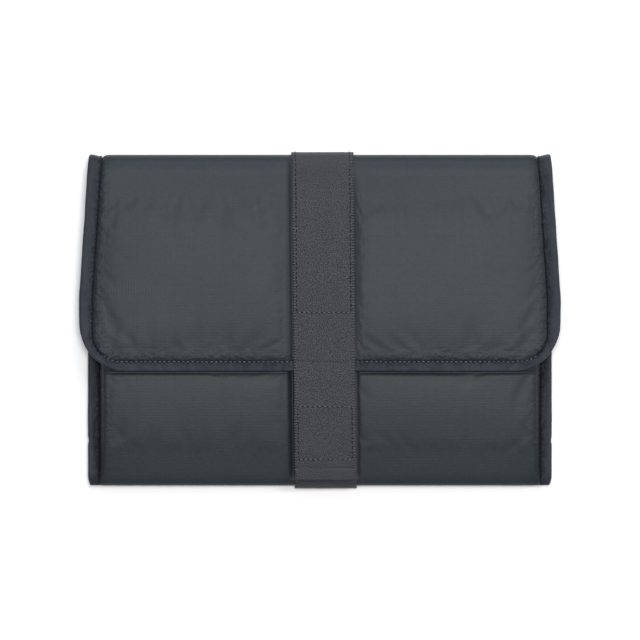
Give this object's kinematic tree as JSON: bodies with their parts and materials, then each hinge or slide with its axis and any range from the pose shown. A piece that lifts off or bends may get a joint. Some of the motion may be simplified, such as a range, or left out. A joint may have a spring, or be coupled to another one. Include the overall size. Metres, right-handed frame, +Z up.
{
  "type": "changing clutch",
  "caption": "Folded padded changing clutch with a bound rounded flap, a wide webbing strap closed by hook and loop, and a folded changing mat inside.",
  "frame": {"origin": "on the surface the closed clutch lies on, under the middle of its bounding box", "axes": "+X across the clutch's width, +Y from the bottom fold to the top fold, +Z up through the flap"},
  "size_m": [0.3102, 0.2168, 0.0271],
  "materials": {
    "outer_fabric": "matt ripstop nylon, charcoal",
    "binding_tape": "folded grosgrain tape, dark grey",
    "webbing": "heathered jacquard webbing",
    "foam": "open foam sheet, sealed inside",
    "lining_fabric": "smooth grey taffeta",
    "mat_fabric": "wipe-clean coated fabric, pale grey",
    "hook_and_loop": "black hook and loop tape",
    "label_fabric": "blank white satin"
  },
  "bodies": {
    "pouch": {"back_shell": "outer_fabric", "back_padding": "foam", "back_lining": "lining_fabric", "front_shell": "outer_fabric", "front_padding": "foam", "front_lining": "lining_fabric", "mouth_binding": "binding_tape", "side_binding_left": "binding_tape", "side_binding_right": "binding_tape", "strap_lower_run": "webbing", "loop_patch": "hook_and_loop", "mat_sheet": "mat_fabric", "mat_binding_left": "binding_tape", "mat_binding_right": "binding_tape", "mat_binding_lower_end": "binding_tape", "mat_binding_upper_end": "binding_tape"},
    "spine": {"spine_shell": "outer_fabric", "spine_padding": "foam", "spine_lining": "lining_fabric", "spine_binding_left": "binding_tape", "spine_binding_right": "binding_tape", "strap_spine_run": "webbing"},
    "flap": {"flap_shell": "outer_fabric", "flap_padding": "foam", "flap_lining": "lining_fabric", "flap_binding": "binding_tape", "blank_label": "label_fabric", "strap_flap_run": "webbing"},
    "tail_root": {"strap_tail_root": "webbing"},
    "tail_end": {"strap_tail_end": "webbing", "hook_patch": "hook_and_loop"}
  },
  "joints": [
    {"name": "spine_fold", "type": "hinge", "parent": "pouch", "child": "spine", "pos_m": [0, 0.10384, 0.00461], "axis": [-1, 0, 0], "range_deg": [0, 90]},
    {"name": "flap_fold", "type": "hinge", "parent": "spine", "child": "flap", "pos_m": [0, 0.10303, 0.02168], "axis": [-1, 0, 0], "range_deg": [0, 90]},
    {"name": "strap_peel", "type": "hinge", "parent": "flap", "child": "tail_root", "pos_m": [0.0027, 0.005, 0.0271], "axis": [-1, 0, 0], "range_deg": [0, 80]},
    {"name": "strap_curl", "type": "hinge", "parent": "tail_root", "child": "tail_end", "pos_m": [0.0031, -0.04, 0.0271], "axis": [-1, 0, 0], "range_deg": [0, 80]}
  ],
  "couplings": [
    {"joint": "strap_curl", "follows": "strap_peel", "ratio": 1}
  ]
}
